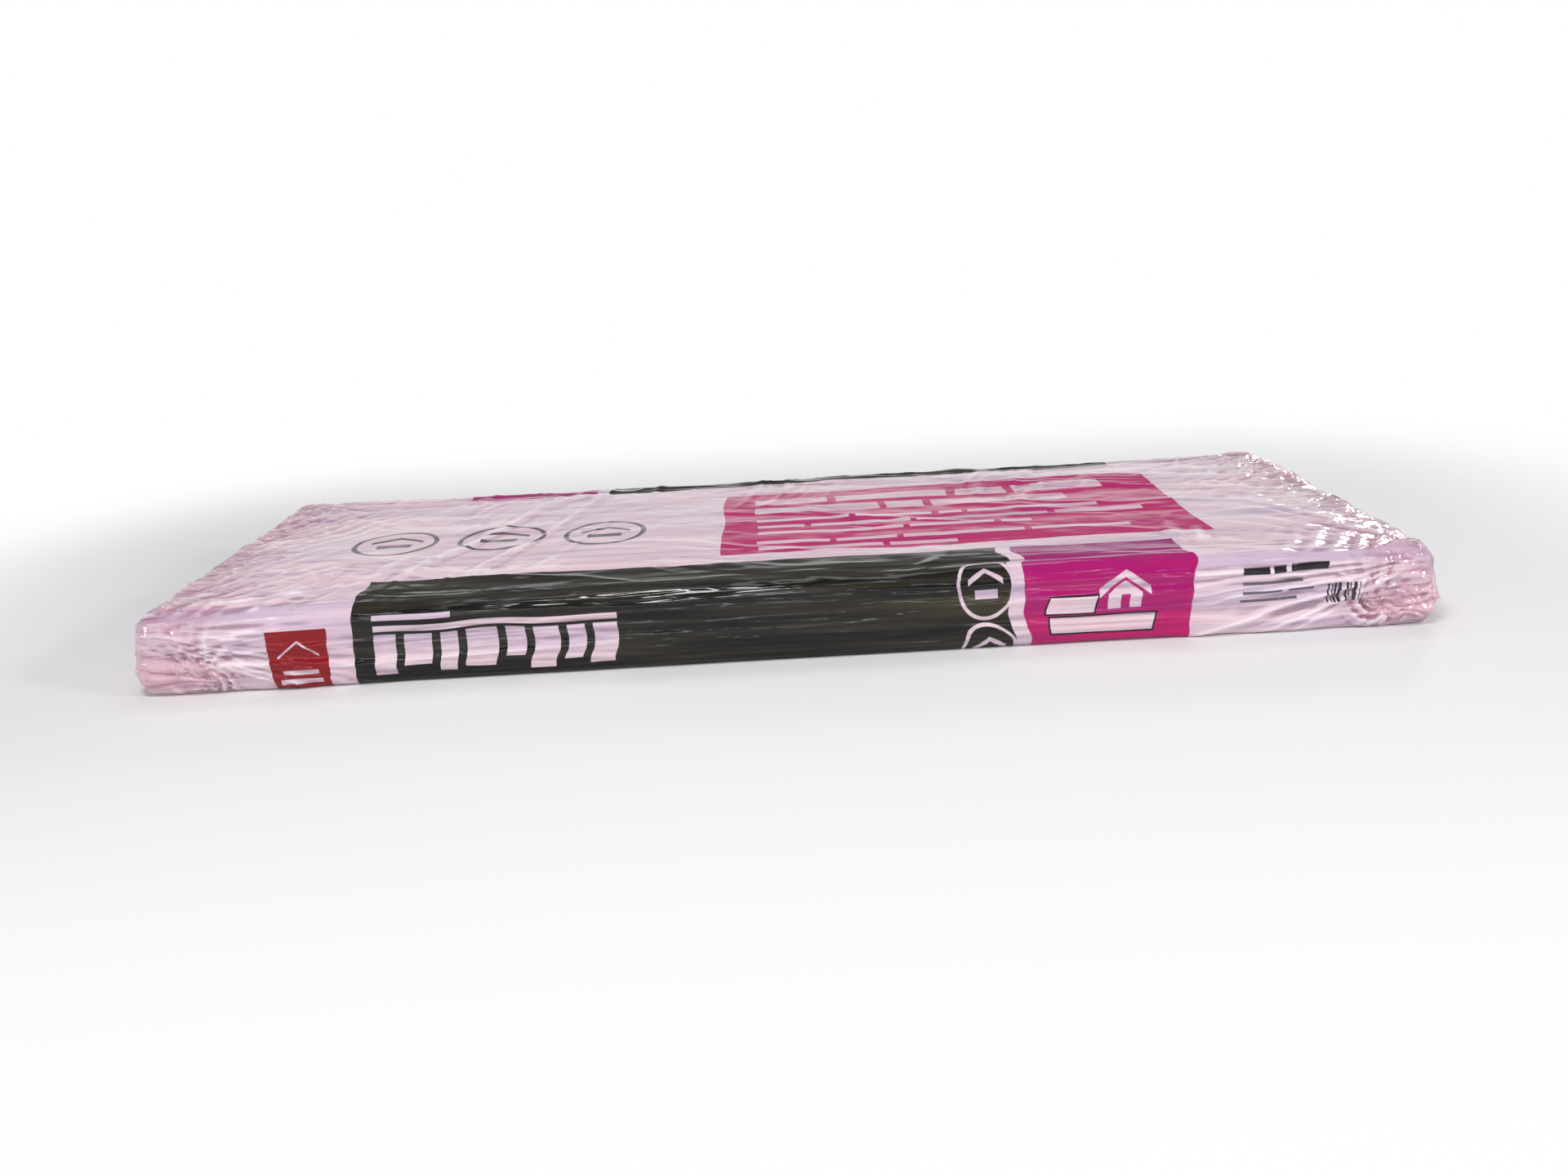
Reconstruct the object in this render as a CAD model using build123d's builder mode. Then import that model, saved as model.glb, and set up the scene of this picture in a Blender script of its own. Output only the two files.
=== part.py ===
from build123d import *
import math
import os

# A bundle of laminated asphalt roof shingles in its printed film wrapper, lying flat.
# X runs along the shingles, the long face that carries the print looks along -Y, and Z is up.
# The origin is at the middle of the underside. Millimetres.

# Shingle
shingle_length = 1000.0  # along the roof course
shingle_height = 337.0  # from the butt edge up the roof
ply = 1.8  # one ply of coated mat with its granules
lap_of_plies = 168.0  # the part behind the tabs, up from the butt edge, that has two plies
ply_step_run = 6.0  # over this the stack's next shingle dips from two plies to one
cutout_depth = 140.0  # how far the gaps between tabs run up from the butt edge
cutout_slope = 83.0  # degrees between a tab's side and the butt edge
cutout_widths = (96.0, 58.0, 118.0, 74.0)  # at the butt edge
cutout_shift = 137.0  # how far the pattern of gaps moves from one shingle to the next
shingle_pairs = 11  # one shingle with its butt edge to the front, the next turned round on it
stack_gap = 0.1  # between one shingle and the next

# Wrapper
film = 0.5  # drawn about five times as thick as the real film
edge_radius = 2.0  # outside, where the film turns over the stack's top and bottom edges
corner_radius = 6.0  # outside, where it turns from a long face to an end
side_bulge = 3.0  # how far the middle of a long face stands out
end_reach = 10.0  # from the flat top's end out to the seal line
end_crown = 1.2  # how far the film bows between the flat top and the seal line
top_clearance = 0.3  # between the stack and the film over it
seal_height = 21.0  # of the end seal above the underside
seal_fin = 3.0  # how far the trimmed seal stands out from the end
seal_thickness = 1.2  # two films and the melted edge
seam_height = 12.0  # of the lengthwise seam on the back, its lower edge above the underside
seam_width = 25.0  # overlap of the two films in that seam
tuck_width = 46.0  # of the gusset folded in at each corner of an end, where it meets the seal

# Dog ears: the film gathered on the long faces, close to each corner
ear_radius = 15.0
ear_inset = 33.0  # from the shingles' end in to the middle of the gather
tail_radius = 7.0  # the gather runs out to the end seal and narrows to this
ear_rise = 3.0  # how far it stands out from the long face
ear_slope = 1.2  # chamfer round its outer edge
pleat_count = 11  # grooves that run in to the middle of the gather
pleat_radius = 1.0
pleat_start = 4.0  # from the middle of the gather to the inner end of a pleat

# Worked out from the values above
pair_rise = 3 * ply + 2 * stack_gap
stack_top = film + shingle_pairs * pair_rise - stack_gap
wrapper_height = stack_top + top_clearance + film
# The film stands off the shingles' sides, so its rounded edges and corners stay clear of them.
stand_off = (edge_radius + (math.sqrt(2) - 1) * corner_radius) / math.sqrt(2)
flat_half_length = shingle_length / 2 + stand_off + film
flat_half_depth = shingle_height / 2 + stand_off + film
face_y = flat_half_depth + side_bulge
seal_x = flat_half_length + end_reach
ear_x = shingle_length / 2 - ear_inset
tail_x = flat_half_length - tail_radius

os.makedirs("parts", exist_ok=True)


def side_outline(number):
    """Outline of a shingle seen from its end, as (y, z) points.

    An even shingle has its butt edge in front and a flat underside. An odd one lies on it turned
    round, so that its second ply fills the step and the top of the pair is flat again.
    """
    base = film + (number // 2) * pair_rise
    front, back = -shingle_height / 2, shingle_height / 2
    step = front + lap_of_plies
    if number % 2 == 0:
        return [
            (front, base),
            (back, base),
            (back, base + ply),
            (step + ply_step_run, base + ply),
            (step, base + 2 * ply),
            (front, base + 2 * ply),
        ]
    lift = base + stack_gap
    return [
        (front, lift + 2 * ply),
        (step, lift + 2 * ply),
        (step + ply_step_run, lift + ply),
        (back, lift + ply),
        (back, lift + 3 * ply),
        (front, lift + 3 * ply),
    ]


def shingle(number):
    """One laminated shingle, with the gaps between its tabs cut through the upper ply."""
    turned = number % 2 == 1
    butt_y = shingle_height / 2 if turned else -shingle_height / 2
    into_y = -1 if turned else 1
    upper_ply = max(z for _, z in side_outline(number)) - ply
    pitch = shingle_length / len(cutout_widths)
    with BuildPart() as body:
        with BuildSketch(Plane.YZ.offset(-shingle_length / 2)):
            with BuildLine():
                Polyline(*side_outline(number), close=True)
            make_face()
        extrude(amount=shingle_length)
        with BuildSketch(Plane.XY.offset(upper_ply)):
            for index, width in enumerate(cutout_widths):
                along = ((index + 0.5) * pitch + number * cutout_shift) % shingle_length
                with Locations((along - shingle_length / 2, butt_y + into_y * cutout_depth / 2)):
                    Trapezoid(width, cutout_depth, cutout_slope, rotation=180 if turned else 0)
        extrude(amount=ply, mode=Mode.SUBTRACT)
    return body.part


def face_profile(inset):
    """Section of the wrapper across the bundle, YZ, taken in by inset: bowed long faces."""
    low, middle, high = inset, wrapper_height / 2, wrapper_height - inset
    edge, face = flat_half_depth - inset, face_y - inset
    with BuildSketch(Plane.YZ) as profile:
        with BuildLine():
            Line((-edge, low), (edge, low))
            ThreePointArc((edge, low), (face, middle), (edge, high))
            Line((edge, high), (-edge, high))
            ThreePointArc((-edge, high), (-face, middle), (-edge, low))
        make_face()
    return profile.sketch


def end_profile(inset):
    """Section of the wrapper along the bundle, XZ, taken in by inset: ends that run to the seal."""
    low, high = inset, wrapper_height - inset
    edge, reach = flat_half_length - inset, seal_x - inset
    with BuildSketch(Plane.XZ) as profile:
        with BuildLine():
            Line((-edge, low), (edge, low))
            SagittaArc((edge, low), (reach, seal_height), -end_crown)
            SagittaArc((reach, seal_height), (edge, high), -end_crown)
            Line((edge, high), (-edge, high))
            SagittaArc((-edge, high), (-reach, seal_height), -end_crown)
            SagittaArc((-reach, seal_height), (-edge, low), -end_crown)
        make_face()
    return profile.sketch


def wrapper_form(inset):
    """The closed form of the wrapper taken in by inset, with its edges and corners rounded."""
    with BuildPart() as form:
        extrude(face_profile(inset), amount=seal_x, both=True)
        extrude(end_profile(inset), amount=face_y, both=True, mode=Mode.INTERSECT)
        upright = form.edges().filter_by(lambda e: e.bounding_box().size.Z > seal_height / 2)
        fillet(upright, corner_radius - inset)
        fillet(form.faces().group_by(Axis.Z)[-1].edges(), edge_radius - inset)
        fillet(form.faces().group_by(Axis.Z)[0].edges(), edge_radius - inset)
    return form.part


with BuildPart() as shingles:
    for number in range(2 * shingle_pairs):
        add(shingle(number))
shingles.part.label = "shingles"
export_step(shingles.part, "parts/shingles.step")

with BuildPart() as ears:
    with BuildSketch(Plane.XZ.offset(flat_half_depth)):
        with Locations((ear_x, seal_height)):
            Circle(ear_radius)
        with Locations((tail_x, seal_height)):
            Circle(tail_radius)
        make_hull()
    extrude(amount=side_bulge + ear_rise)
    outer = ears.faces().sort_by(Axis.Y)[0]
    chamfer(outer.edges(), ear_slope)
    with Locations(Plane((ear_x, -face_y - ear_rise, seal_height), z_dir=(0, -1, 0))):
        with PolarLocations(pleat_start, pleat_count):
            Cylinder(
                pleat_radius,
                ear_radius,
                rotation=(0, 90, 0),
                align=(Align.CENTER, Align.CENTER, Align.MIN),
                mode=Mode.SUBTRACT,
            )
    mirror(about=Plane.YZ)
    mirror(about=Plane.XZ)

# The lengthwise seam along the back, where the film lies double
with BuildPart() as seam:
    extrude(face_profile(-film), amount=ear_x, both=True)
    with Locations((0, face_y, seam_height + seam_width / 2)):
        Box(2 * ear_x, 2 * side_bulge, seam_width, mode=Mode.INTERSECT)

# The gussets folded in at the corners of both ends
with BuildPart() as gussets:
    extrude(end_profile(-film), amount=flat_half_depth - corner_radius, both=True)
    with BuildSketch(Plane.YZ):
        Polygon(
            (flat_half_depth, 0),
            (flat_half_depth, wrapper_height),
            (flat_half_depth - tuck_width, seal_height),
            align=None,
        )
        mirror(about=Plane.XZ)
    extrude(amount=seal_x + film, both=True, mode=Mode.INTERSECT)

with BuildPart() as film_wrapper:
    add(wrapper_form(0))
    with BuildSketch(Plane.XY.offset(seal_height)):
        RectangleRounded(2 * (seal_x + seal_fin), 2 * flat_half_depth, corner_radius)
    extrude(amount=seal_thickness / 2, both=True)
    add(seam.part)
    add(gussets.part)
    add(ears.part)
    add(wrapper_form(film), mode=Mode.SUBTRACT)
film_wrapper.part.label = "film_wrapper"
export_step(film_wrapper.part, "parts/film_wrapper.step")
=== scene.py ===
import math

import bpy
import numpy as np
from mathutils import Matrix, Vector


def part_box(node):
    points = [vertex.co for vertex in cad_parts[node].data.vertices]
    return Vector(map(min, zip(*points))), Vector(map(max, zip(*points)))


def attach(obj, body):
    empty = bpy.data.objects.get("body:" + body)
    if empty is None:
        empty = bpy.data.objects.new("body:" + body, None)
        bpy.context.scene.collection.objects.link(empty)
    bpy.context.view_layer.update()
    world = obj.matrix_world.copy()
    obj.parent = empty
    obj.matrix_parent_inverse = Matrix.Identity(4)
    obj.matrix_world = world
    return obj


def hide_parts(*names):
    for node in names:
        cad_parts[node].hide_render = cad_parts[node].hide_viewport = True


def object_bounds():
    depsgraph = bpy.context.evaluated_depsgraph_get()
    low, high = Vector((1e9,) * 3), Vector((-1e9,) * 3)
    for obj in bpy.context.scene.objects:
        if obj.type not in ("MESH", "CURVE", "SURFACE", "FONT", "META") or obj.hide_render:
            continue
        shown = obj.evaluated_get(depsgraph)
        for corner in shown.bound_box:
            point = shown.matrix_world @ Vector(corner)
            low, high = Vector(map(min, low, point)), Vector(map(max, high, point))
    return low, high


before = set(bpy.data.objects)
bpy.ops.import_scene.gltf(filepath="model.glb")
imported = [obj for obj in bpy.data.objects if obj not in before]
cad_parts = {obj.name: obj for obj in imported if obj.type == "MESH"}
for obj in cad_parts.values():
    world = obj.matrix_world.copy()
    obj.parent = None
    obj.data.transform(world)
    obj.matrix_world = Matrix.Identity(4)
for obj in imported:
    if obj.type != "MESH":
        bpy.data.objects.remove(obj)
cad_low, cad_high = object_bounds()

# A shingle bundle's printed film wrapper, drawn with its folds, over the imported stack.
# Shapes are worked out in millimetres in the frame's axes and turned to metres at the end.
MM = 0.001
wrap_low, wrap_high = [np.array(corner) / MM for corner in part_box("film_wrapper")]
stack_low, stack_high = [np.array(corner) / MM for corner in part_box("shingles")]

top_z = wrap_high[2] + 2.2  # the film lies a little slack over the stack
middle_z = top_z / 2
stack_half, side_half = stack_high[:2]
face_half = side_half + 6.4  # the film's side at its top and bottom edges
end_half = stack_half + 5.8
SHOULDER = 13.0  # radius of the film over the stack's top edges
FOOT = 6.5  # and at its underside
SIDE_BULGE = 2.2  # how far the middle of a long face stands out from its edges
SEAL_Z = 21.0  # height of the line along which an end is closed
SEAL_REACH = 9.0  # and how far it leans out there
FILM_GAP = 0.8  # least room between the film and the stack
SLACK = 0.3  # how far the film lies off its smooth form where it has no fold
FOLD_LIMIT = 3.2  # folds of a long face are held back above this height

# The folds' painted shade and highlights: the weight of their height, and that of how far they
# stand out from the film within so many grid steps.
FOLD_HEIGHT = 0.3
STAND_OUT = 3.0
SURROUNDINGS = 4

# Places along the print, from the left end of the shingles.
BLACK = (161.0, 677.0)
MAGENTA = (689.0, 820.0)
RED_PATCH = ((95.0, -5.0), (141.0, 51.0))  # its lower left and upper right corners
# The middle and radius of each round sign beside the magenta
ROUND_SIGNS = (((659.0, 44.0), 22.5), ((656.0, -2.0), 22.0))
TOP_PANEL = (450.0, 860.0)
# Across the top, from the front: the side prints reach this far onto it.
TOP_BARE = (58.0, 2 * face_half - 30.0)


def lattice(cells, seed):
    """Random numbers from -1 to 1 for whole-number cells."""
    value = np.full(cells[0].shape, seed * 374761393 & 0xFFFFFFFF, dtype=np.uint64)
    for cell, prime in zip(cells, (668265263, 2246822519, 3266489917)):
        value ^= (cell.astype(np.int64) * prime).astype(np.uint64) & 0xFFFFFFFF
        value = (value ^ (value >> np.uint64(15))) * np.uint64(2246822519) & np.uint64(0xFFFFFFFF)
        value = (value ^ (value >> np.uint64(13))) * np.uint64(3266489917) & np.uint64(0xFFFFFFFF)
    return (value & np.uint64(0xFFFF)).astype(float) / 32767.5 - 1.0


def noise(*places, seed=0):
    """Smooth noise from -1 to 1 in as many dimensions as there are places."""
    places = np.broadcast_arrays(*[np.asarray(p, dtype=float) for p in places])
    cells = [np.floor(p) for p in places]
    within = [p - c for p, c in zip(places, cells)]
    eased = [w * w * w * (w * (w * 6 - 15) + 10) for w in within]
    total = np.zeros(places[0].shape)
    for corner in range(2 ** len(places)):
        weight = np.ones(places[0].shape)
        picked = []
        for axis in range(len(places)):
            side = corner >> axis & 1
            weight = weight * (eased[axis] if side else 1 - eased[axis])
            picked.append(cells[axis] + side)
        total += weight * lattice(picked, seed)
    return total


def layered(*places, seed=0, layers=3, fade=0.5):
    """Noise in several sizes, each half as large as the one before."""
    total, strength = 0.0, 1.0
    for layer in range(layers):
        total = total + strength * noise(*[p * 2.0**layer for p in places], seed=seed + layer)
        strength *= fade
    return total


def creases(*places, seed=0, layers=3, fade=0.55):
    """Sharp ridges with slack film between them, from about -1 to 1."""
    total, strength, whole = 0.0, 1.0, 0.0
    for layer in range(layers):
        ridge = 1 - 3.2 * np.abs(noise(*[p * 2.0**layer for p in places], seed=seed + 7 * layer))
        total = total + strength * np.maximum(ridge, -0.6)
        whole += strength
        strength *= fade
    return total / whole


def folds(value):
    """A wave with sharp crests and troughs, from -1 to 1."""
    return 4 * np.abs(value - np.floor(value + 0.5)) - 1


def crumple(across, up, seed, sheets=3, fade=0.75):
    """Flat facets that meet in sharp lines, as in crushed film, from about -1 to 1."""
    draw = np.random.default_rng(seed)
    total, strength, whole, size = 0.0, 1.0, 0.0, 0.5
    for sheet in range(sheets):
        turn, start = draw.uniform(0, math.pi), draw.uniform(0, 1)
        bend = 0.45 * noise(across * size, up * size, seed=seed + sheet)
        way = (across * math.cos(turn) + up * math.sin(turn)) * size
        total = total + strength * folds(way + bend + start)
        whole += strength
        strength *= fade
        size *= 1.5
    return 1.6 * total / whole


def pleated(along, away, spacing, seed):
    """Rounded troughs and sharp crests that run away from an edge, uneven in pitch and height."""
    phase = along / spacing + 1.1 * noise(along / (3.1 * spacing), seed=seed)
    phase = phase + 0.35 * noise(away / 22, along / 40, seed=seed)
    height = 0.65 + 0.55 * noise(along / (1.7 * spacing), away / 40, seed=seed + 1)
    return (1 - 2 * np.abs(np.sin(math.pi * phase))) * height


def ease(value, start, end):
    """0 up to start, 1 from end on, smooth between; works in both directions."""
    t = np.clip((value - start) / (end - start), 0, 1)
    return t * t * (3 - 2 * t)


def spaced(half, middle_step, end_step, end_zone):
    """Places from -half to half, closer together near both ends."""
    places = [0.0]
    while places[-1] < half:
        near = ease(half - places[-1], end_zone, 0.0)
        places.append(places[-1] + middle_step + (end_step - middle_step) * near)
    places = np.array(places) * half / places[-1]
    return np.concatenate([-places[:0:-1], places])


# The closed form, as a grid on the six sides of a box

COARSE = 1.0
GRID_X = spaced(end_half, 2.6 * COARSE, 1.15 * COARSE, 120.0)
GRID_Y = spaced(face_half, 2.3 * COARSE, 1.2 * COARSE, 30.0)
GRID_Z = spaced(middle_z, 1.1 * COARSE, 0.8 * COARSE, 14.0) + middle_z


def grid_quads(ids):
    """The quads of a grid of point numbers."""
    corners = [ids[:-1, :-1], ids[1:, :-1], ids[1:, 1:], ids[:-1, 1:]]
    return np.stack(corners, axis=-1).reshape(-1, 4)


def box_side(name):
    """Grid indices of one side of the box, with its quads wound to face outwards."""
    last = [len(GRID_X) - 1, len(GRID_Y) - 1, len(GRID_Z) - 1]
    axis, far, across, up = {
        "front": (1, False, 0, 2),
        "back": (1, True, 0, 2),
        "left": (0, False, 1, 2),
        "right": (0, True, 1, 2),
        "base": (2, False, 0, 1),
        "top": (2, True, 0, 1),
    }[name]
    a, b = np.meshgrid(np.arange(last[across] + 1), np.arange(last[up] + 1), indexing="ij")
    index = np.zeros(a.shape + (3,), dtype=int)
    index[..., across] = a
    index[..., up] = b
    index[..., axis] = last[axis] if far else 0
    quads = grid_quads(np.arange(a.size).reshape(a.shape))
    if (axis == 1) == far:
        quads = quads[:, ::-1]
    return index.reshape(-1, 3), quads


def rounded(box_points):
    """Points of the box moved onto its rounded form, and the directions straight out of it."""
    half = np.array([end_half, face_half, middle_z])
    centred = box_points - np.array([0, 0, middle_z])
    radius = (FOOT + (SHOULDER - FOOT) * ease(centred[:, 2], -10, 12))[:, None]
    core = np.clip(centred, radius - half, half - radius)
    out = centred - core
    out /= np.linalg.norm(out, axis=1)[:, None]
    return core + out * radius + np.array([0, 0, middle_z]), out


def gather(x, z, centre, reach, ways, seed, twist=0.0, cap=1.6):
    """Sharp folds that run in to one point of a side; they widen and fade away from it."""
    dx, dz = x - centre[0], z - centre[1]
    distance = np.hypot(dx, dz)
    angle = np.arctan2(dz, dx) + twist * distance
    ring = ways / (2 * math.pi)
    ridge = creases(ring * np.cos(angle), ring * np.sin(angle), distance / 70, seed=seed, layers=2)
    height = np.minimum(distance * 2 / ways, cap)
    return ridge * height * np.clip(1 - distance / reach, 0, 1) ** 1.3


def fan(a, b, centre, toward, angles, reach, seed, count):
    """Long sharp folds that run away from a point; toward turns them to the left or the right."""
    draw = np.random.default_rng(seed)
    total = np.zeros(np.broadcast(a, b).shape)
    for number in range(count):
        share = (number + draw.uniform(0.1, 0.9)) / count
        angle = math.radians(angles[0] + (angles[1] - angles[0]) * share)
        start, length = draw.uniform(3, 16), reach * draw.uniform(0.35, 1.0)
        height, width = draw.uniform(1.0, 2.6), draw.uniform(1.3, 2.9)
        da, db = toward * (a - centre[0]), b - centre[1]
        along = da * math.cos(angle) + db * math.sin(angle)
        bend = 1.8 * noise(along / 30, seed=seed + number)
        off = np.abs(db * math.cos(angle) - da * math.sin(angle) + bend)
        part = (along - start) / length
        taper = np.clip(part * 6, 0, 1) * np.clip((1 - part) * 1.7, 0, 1)
        spread = width * (1 + 0.9 * np.clip(part, 0, 1))
        total = np.maximum(total, height * taper * np.exp(-off / spread))
    return total


KNOTS = {
    ("front", -1): (-stack_half + 43, 17.0),
    ("front", 1): (stack_half - 34, 21.0),
    ("back", -1): (-stack_half + 33, 20.0),
    ("back", 1): (stack_half - 44, 16.0),
}
CRUSHED = {("front", -1): 72.0, ("front", 1): 118.0, ("back", -1): 104.0, ("back", 1): 66.0}


def knot_share(x, z, side):
    """1 in the puckered knots of a long face, 0 away from them."""
    share = np.zeros(np.broadcast(x, z).shape)
    for end in (-1, 1):
        knot = KNOTS[(side, end)]
        distance = np.hypot((x - knot[0]) * 0.85, (z - knot[1]) * 1.1)
        share = np.maximum(share, ease(distance + 4 * noise(x / 9, z / 9, seed=90), 28, 9))
    return share


def side_relief(x, z, side):
    """How far the film of a long face stands out: streaks, and folds that run to the knots."""
    seed = {"front": 100, "back": 200}[side]
    wander = 3.2 * noise(x / 170, z / 30, seed=seed) + 0.9 * noise(x / 60, z / 14, seed=seed + 1)
    level = z + wander
    relief = 1.7 * noise(x / 260, level / 10.0, seed=seed + 2)
    relief += 0.95 * creases(x / 240, level / 8.4, seed=seed + 6, layers=2)
    strength = 0.6 + 0.6 * noise(x / 80, z / 16, seed=seed + 4)
    relief += 0.55 * creases(x / 120, level / 3.6, seed=seed + 3, layers=2) * strength
    relief += 0.12 * layered(x / 18, z / 7, seed=seed + 5, layers=2)
    for end in (-1, 1):
        knot = KNOTS[(side, end)]
        corner = (end * (stack_half + 4), top_z * 0.78)
        relief += 0.5 * gather(x, z, corner, 250, 32, seed + 10 + end, cap=2.3)
        upper, middle = (end * (stack_half + 3), top_z * 0.84), (end * (stack_half + 6), 33.0)
        relief += 1.5 * fan(x, z, upper, -end, (-26, 3), 320, seed + 70 + end, 11)
        relief += fan(x, z, middle, -end, (-13, 12), 230, seed + 76 + end, 8)
        relief += 0.7 * fan(x, z, knot, 1, (0, 360), 46, seed + 82 + end, 12)
        relief += 1.0 * gather(x, z, knot, 80, 18, seed + 20 + end, twist=0.006, cap=2.2)
        distance = np.hypot(x - knot[0], (z - knot[1]) * 1.15)
        swirl = gather(x, z, knot, 34, 11, seed + 40 + end, twist=0.11, cap=3.4)
        rosette = crumple(x / 13, z / 12, seed + 30 + end)
        near = ease(distance, 30, 8)
        relief += near * (0.7 * rosette + 1.0) + 2.0 * swirl
        relief -= 3.4 * ease(distance, 7, 0)
        reach = CRUSHED[(side, end)] + 22 * noise(z / 13, x / 40, seed=seed + 60 + end)
        edge = ease(end * x, stack_half - reach, stack_half - reach * 0.35)
        dx, dz = end * (stack_half + 45) - x, z - SEAL_Z
        away, turn = np.hypot(dx, dz), np.arctan2(dz, np.abs(dx))
        relief += edge * 0.5 * crumple(away / 48, turn * 7.0, seed + 50 + end, fade=0.6)
        relief += edge * 0.2 * crumple(x / 30, z / 16, seed + 54 + end)
    above = np.maximum(relief - FOLD_LIMIT, 0)
    return np.minimum(relief, FOLD_LIMIT) + FOLD_LIMIT * np.tanh(above / FOLD_LIMIT)


def top_relief(x, y):
    """Slack film on the top: flat on the shingles between raised folds."""
    warp = 16 * noise(x / 130, y / 95, seed=300)
    relief = 0.8 * layered((x + warp) / 230, (y + warp) / 52, seed=301, layers=2)
    slant = y + 0.3 * x + warp
    patch = ease(noise(x / 150, y / 80, seed=302), -0.35, 0.5)
    relief += 2.3 * patch * np.maximum(creases(slant / 44, x / 260, seed=303, layers=3), -0.1)
    other = ease(noise(x / 120, y / 90, seed=304), -0.1, 0.6)
    relief += 2.0 * other * np.maximum(creases((x - 0.35 * y + warp) / 48, y / 200, seed=305), -0.1)
    relief += 0.22 * layered(x / 24, y / 17, seed=306, layers=2)
    for end in (-1, 1):
        inward = end_half - end * x
        reach = 34 + 20 * noise(y / 8, y / 29, seed=308 + end)
        relief += 1.9 * pleated(y, inward, 7.6, 312 + end) * ease(inward, reach, 0)
        slanted = folds((y * 0.8 + end * inward + 9 * noise(x / 40, y / 40, seed=314)) / 21)
        relief += 0.9 * np.maximum(slanted, -0.4) * ease(inward, 170, 20) * patch
        relief += 0.8 * crumple(x / 44, y / 34, 316 + end) * ease(inward, 90, 14)
        for side in (-1, 1):
            corner = (end * (stack_half + 4), side * (side_half + 4))
            relief += 0.9 * gather(x, y, corner, 190, 40, 320 + end + 3 * side, cap=2.2)
            angles = (4, 64) if side < 0 else (-64, -4)
            relief += 0.8 * fan(x, y, corner, -end, angles, 200, 340 + end + 3 * side, 9)
    for side in (-1, 1):
        inward = face_half - side * y
        level = inward + 4 * noise(x / 90, seed=330)
        edge = creases(x / 190, level / 9, seed=331 + side, layers=2)
        relief += 0.9 * edge * ease(inward, 60, 10)
    return relief


def end_relief(y, z, end):
    """The closed end: pleats down from the top edge, slanting wrinkles, crushed corners."""
    seed = 400 + 50 * (end > 0)
    down = top_z - z
    reach = 24 + 12 * noise(y / 7, y / 23, seed=seed)
    relief = 1.9 * pleated(y, down, 7.6, 312 + end) * ease(down, reach, 0)
    relief += 1.2 * noise(y / 95, z / 26, seed=seed + 8)
    slant = y - 1.1 * z + 6 * noise(y / 40, z / 22, seed=seed + 2)
    patch = ease(noise(y / 60, z / 30, seed=seed + 6), -0.5, 0.4)
    relief += 1.0 * patch * np.maximum(creases(slant / 13, y / 90, seed=seed + 7, layers=1), -0.3)
    relief += 0.35 * crumple(y / 30, z / 17, seed + 3)
    at_seal = np.exp(-(((z - SEAL_Z) / 8.0) ** 2))
    relief += 1.3 * at_seal * pleated(y, z, 9.0, seed + 9)
    corner = ease(np.abs(y), face_half - 62, face_half - 8)
    relief += corner * 0.8 * crumple(y / 26, z / 18, seed + 5)
    for side in (-1, 1):
        rim = side * face_half
        for height in (top_z * 0.9, 8.0):
            relief += 1.1 * gather(y, z, (rim, height), 95, 32, seed + 10 + side, cap=1.8)
        relief += 0.9 * fan(y, z, (rim, top_z * 0.86), -side, (-36, 2), 130, seed + 20 + side, 9)
        relief += 0.8 * fan(y, z, (rim, 10.0), -side, (-4, 24), 120, seed + 26 + side, 7)
    return relief


def seal_profile(z):
    """How far the closed end leans out at a height, as a part of its reach."""
    rise = np.where(z < SEAL_Z, z / SEAL_Z, (top_z - z) / (top_z - SEAL_Z))
    return np.clip(rise, 0, 1) ** 0.85


def shape_film(box_points, lift=0.0):
    """Points of the box laid on the finished film, the smooth base under them, and the relief."""
    base, out = rounded(box_points)
    x, y, z = base.T
    points = base.copy()
    belly = 1 - ((z - middle_z) / middle_z) ** 2
    slump = SIDE_BULGE * (1 + 0.5 * noise(x / 140, np.sign(y), seed=80))
    points[:, 1] += np.sign(y) * slump * belly * ease(np.abs(y), face_half - 18, face_half)
    swell = SEAL_REACH * (1 + 0.22 * noise(y / 60, np.sign(x), seed=81))
    points[:, 0] += np.sign(x) * swell * seal_profile(z) * ease(np.abs(x), end_half - 26, end_half)
    relief = np.zeros(len(base))
    facing = (
        (-out[:, 1], lambda p: side_relief(x[p], z[p], "front")),
        (out[:, 1], lambda p: side_relief(x[p], z[p], "back")),
        (out[:, 2], lambda p: top_relief(x[p], y[p])),
        (-out[:, 0], lambda p: end_relief(y[p], z[p], -1)),
        (out[:, 0], lambda p: end_relief(y[p], z[p], 1)),
        (-out[:, 2], lambda p: 0.6 + 0.4 * layered(x[p] / 60, y[p] / 40, seed=500)),
    )
    for toward, measure in facing:
        part = toward > 0
        relief[part] += toward[part] ** 2 * measure(part)
    points += out * (relief + SLACK + lift)[:, None]
    points[:, 2] = np.maximum(points[:, 2], 0.0)
    keep_clear(points, out)
    return points, base, relief


def stand_out(relief, index):
    """How far each point of one side stands out from its surroundings; 0 along the side's rim."""
    varying = [axis for axis in range(3) if np.ptp(index[:, axis]) > 0]
    shape = [int(index[:, axis].max()) + 1 for axis in varying]
    local = relief.reshape(shape)
    rim = np.ones(shape)
    window = 2 * SURROUNDINGS + 1
    for axis, size in enumerate(shape):
        edges = [(SURROUNDINGS, SURROUNDINGS) if a == axis else (0, 0) for a in (0, 1)]
        padded = np.moveaxis(np.pad(local, edges, mode="edge"), axis, 0)
        mean = sum(padded[k : k + size] for k in range(window)) / window
        local = np.moveaxis(mean, 0, axis)
        place = np.arange(size)
        fade = np.clip(np.minimum(place, size - 1 - place) / SURROUNDINGS, 0, 1)
        rim = rim * (fade[:, None] if axis == 0 else fade[None, :])
    return (relief - local.ravel()) * rim.ravel()


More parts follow.
